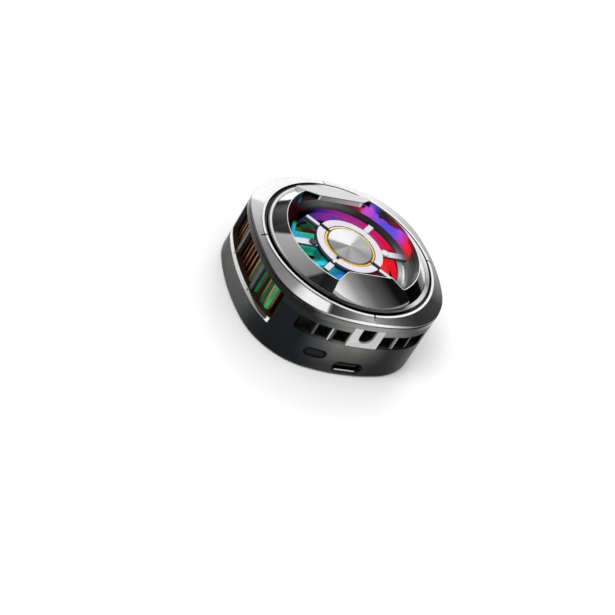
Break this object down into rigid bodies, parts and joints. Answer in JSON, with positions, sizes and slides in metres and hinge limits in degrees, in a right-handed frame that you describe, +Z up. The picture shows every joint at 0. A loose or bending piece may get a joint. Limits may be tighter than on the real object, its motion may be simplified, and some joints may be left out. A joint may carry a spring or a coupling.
{
  "type": "phone cooling fan",
  "caption": "Rounded-square magnetic phone cooler with a lit fan in a chromed cowl, finned heat sink behind side windows, USB-C port and push button.",
  "frame": {"origin": "middle of the flat underside that meets the phone", "axes": "+Z up along the fan's axis, -Y out of the face with the USB-C port, +X to the right when facing the port"},
  "size_m": [0.0574, 0.057, 0.0262],
  "materials": {
    "pad_rubber": "matte silicone",
    "film": "matte thermal film",
    "plate_metal": "milled",
    "inner_plastic": "moulded",
    "magnet": "plated",
    "steel": "bright",
    "body_black": "glossy",
    "foam": "closed-cell foam",
    "ceramic_white": "fired ceramic",
    "pellet": "sintered",
    "wire_red": "insulated wire",
    "wire_black": "insulated wire",
    "sink_copper": "copper-toned anodised",
    "board_green": "solder mask",
    "port_steel": "stamped",
    "cream_plastic": "moulded",
    "button_grey": "satin",
    "light_diffuser": "lit diffuser",
    "led_white": "lens",
    "coil_copper": "enamelled copper wire",
    "bearing_brass": "sintered bronze",
    "blade_plastic": "smoked translucent",
    "white_trim": "satin white",
    "dark_screw": "black",
    "gold_trim": "polished gold",
    "cap_metal": "spun",
    "dark_chrome": "dark chrome",
    "ring_grey": "satin",
    "silver_trim": "satin chrome",
    "post_grey": "satin"
  },
  "bodies": {
    "body": {"contact_pad": "pad_rubber", "thermal_film": "film", "cold_plate": "plate_metal", "base_cover": "inner_plastic", "magnets": "magnet", "magnet_shield": "steel", "base_screws": "steel", "housing": "body_black", "insulation_foam": "foam", "peltier_ceramics": "ceramic_white", "peltier_pellets": "pellet", "peltier_leads": "wire_red", "heat_sink": "sink_copper", "sink_screws": "steel", "control_board": "board_green", "board_screws": "steel", "board_chips": "inner_plastic", "usb_shell": "port_steel", "usb_tongue": "inner_plastic", "tact_switch": "inner_plastic", "fan_leads": "wire_black", "fan_frame": "inner_plastic", "frame_screws": "steel", "light_ring": "light_diffuser", "duct_lip": "body_black", "cowl_liner": "light_diffuser", "led_board": "board_green", "leds": "led_white", "stator_core": "steel", "stator_coils": "coil_copper", "bearing": "bearing_brass", "guard_base": "inner_plastic", "guard_arms": "white_trim", "arm_screws": "dark_screw", "guard_ring": "white_trim", "guard_pointers": "white_trim", "gold_ring": "gold_trim", "hub_cap": "cap_metal", "bezel": "dark_chrome", "inner_ring": "ring_grey", "cowl": "dark_chrome", "vent_grille_front": "silver_trim", "vent_grille_rear": "silver_trim", "window_sill_left": "silver_trim", "window_sill_right": "silver_trim", "window_posts_left": "post_grey", "window_posts_right": "post_grey"},
    "rotor": {"impeller": "blade_plastic", "rotor_yoke": "steel", "rotor_magnet": "magnet", "shaft": "steel", "thrust_washer": "cream_plastic"},
    "button": {"power_button": "button_grey", "switch_plunger": "cream_plastic"}
  },
  "joints": [
    {"name": "fan_spin", "type": "hinge", "parent": "body", "child": "rotor", "pos_m": [0, 0, 0.0175], "axis": [0, 0, 1], "continuous": true},
    {"name": "button_press", "type": "slide", "parent": "body", "child": "button", "axis": [0.1883, 0.9821, 0], "range_m": [0, 0.0004], "stiffness_N_per_m": 1500}
  ]
}
